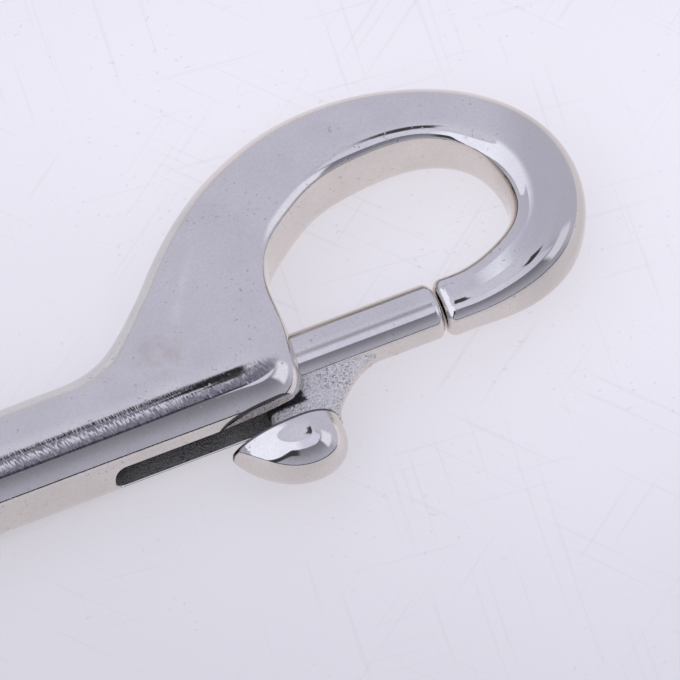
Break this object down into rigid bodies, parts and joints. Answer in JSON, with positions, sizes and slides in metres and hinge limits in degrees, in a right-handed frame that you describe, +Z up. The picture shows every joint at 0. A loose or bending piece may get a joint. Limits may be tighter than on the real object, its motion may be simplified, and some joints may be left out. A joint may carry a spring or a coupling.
{
  "type": "swivel snap hook",
  "caption": "Cast steel snap hook with a spring-loaded sliding bolt worked by a thumb lever, and a free swivel eye at its tail.",
  "frame": {"origin": "centre of the swivel eye, on the axis of the barrel", "axes": "+X along the barrel from the eye to the nose of the hook, +Y towards the back of the hook, +Z up as the hook lies flat"},
  "size_m": [0.1263, 0.0515, 0.016],
  "materials": {
    "polished_steel": "polished cast stainless steel",
    "bolt_steel": "polished, with an as-cast neck",
    "spring_steel": "drawn spring wire",
    "eye_steel": "polished cast stainless steel",
    "washer_steel": "pressed stainless steel"
  },
  "bodies": {
    "hook": {"hook_body": "polished_steel", "spring": "spring_steel", "stem_washer": "washer_steel"},
    "bolt": {"thumb_bolt": "bolt_steel"},
    "eye": {"swivel_eye": "eye_steel"}
  },
  "joints": [
    {"name": "bolt_slide", "type": "slide", "parent": "hook", "child": "bolt", "axis": [-1, 0, 0], "range_m": [0, 0.022], "stiffness_N_per_m": 900, "springref_m": -0.006, "deforming": ["spring"]},
    {"name": "eye_swivel", "type": "hinge", "parent": "hook", "child": "eye", "pos_m": [0.0155, 0, 0], "axis": [1, 0, 0], "continuous": true}
  ]
}
